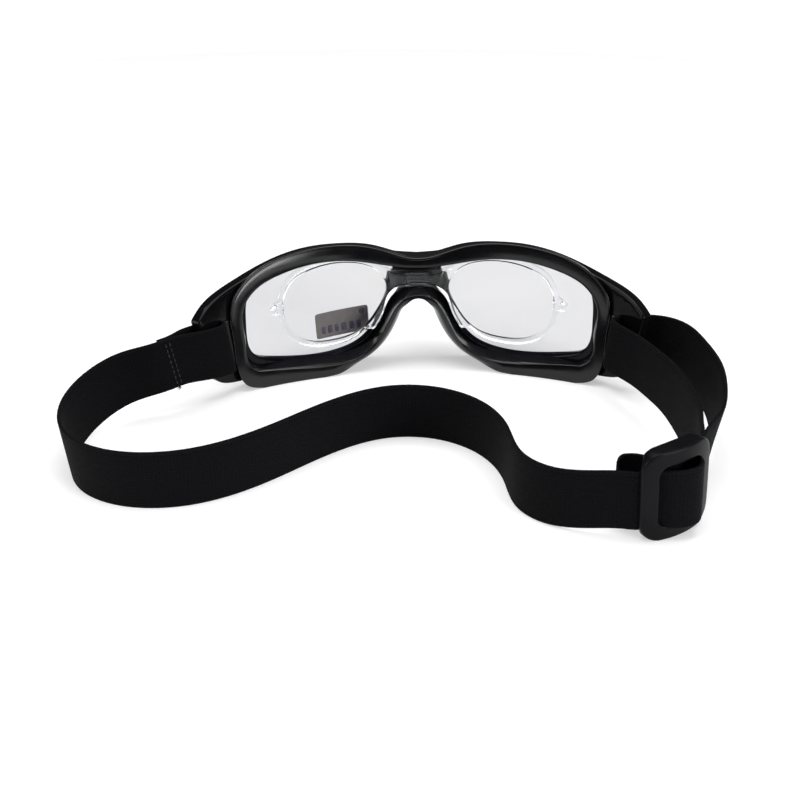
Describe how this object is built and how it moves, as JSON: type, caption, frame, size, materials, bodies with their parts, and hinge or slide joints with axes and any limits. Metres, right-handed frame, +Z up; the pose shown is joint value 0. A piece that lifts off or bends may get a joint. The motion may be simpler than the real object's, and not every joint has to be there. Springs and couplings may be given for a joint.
{
  "type": "sports protective goggles",
  "caption": "Wraparound sports goggles with clear lenses, soft face cushion, empty prescription insert and an elastic webbing strap with a slider.",
  "frame": {"origin": "on the table, under the middle of the whole object's box, goggles and laid-out strap together", "axes": "+X to the wearer's right, +Y the way the wearer looks, +Z up from the table"},
  "size_m": [0.2152, 0.1528, 0.05],
  "materials": {
    "shell": "glossy black moulded plastic",
    "cushion": "smooth black elastomer with a wet sheen",
    "lens": "clear hard-coated polycarbonate",
    "label": "thin dark film label",
    "insert": "clear flexible moulded plastic",
    "webbing": "ribbed black elastic webbing",
    "thread": "black sewing thread",
    "slider": "satin black moulded plastic"
  },
  "bodies": {
    "goggles": {"front_shell": "shell", "face_cushion": "cushion", "lens_left": "lens", "lens_right": "lens", "lens_label": "label", "strap": "webbing", "strap_stitching": "thread"},
    "insert": {"rx_insert": "insert"},
    "slider": {"slider": "slider"}
  },
  "joints": [
    {"name": "insert_pull", "type": "slide", "parent": "goggles", "child": "insert", "axis": [0, -1, 0], "range_m": [0, 0.025]},
    {"name": "slider_travel", "type": "slide", "parent": "goggles", "child": "slider", "axis": [0.8808, 0.4683, 0.0698], "range_m": [-0.004, 0.002]}
  ]
}
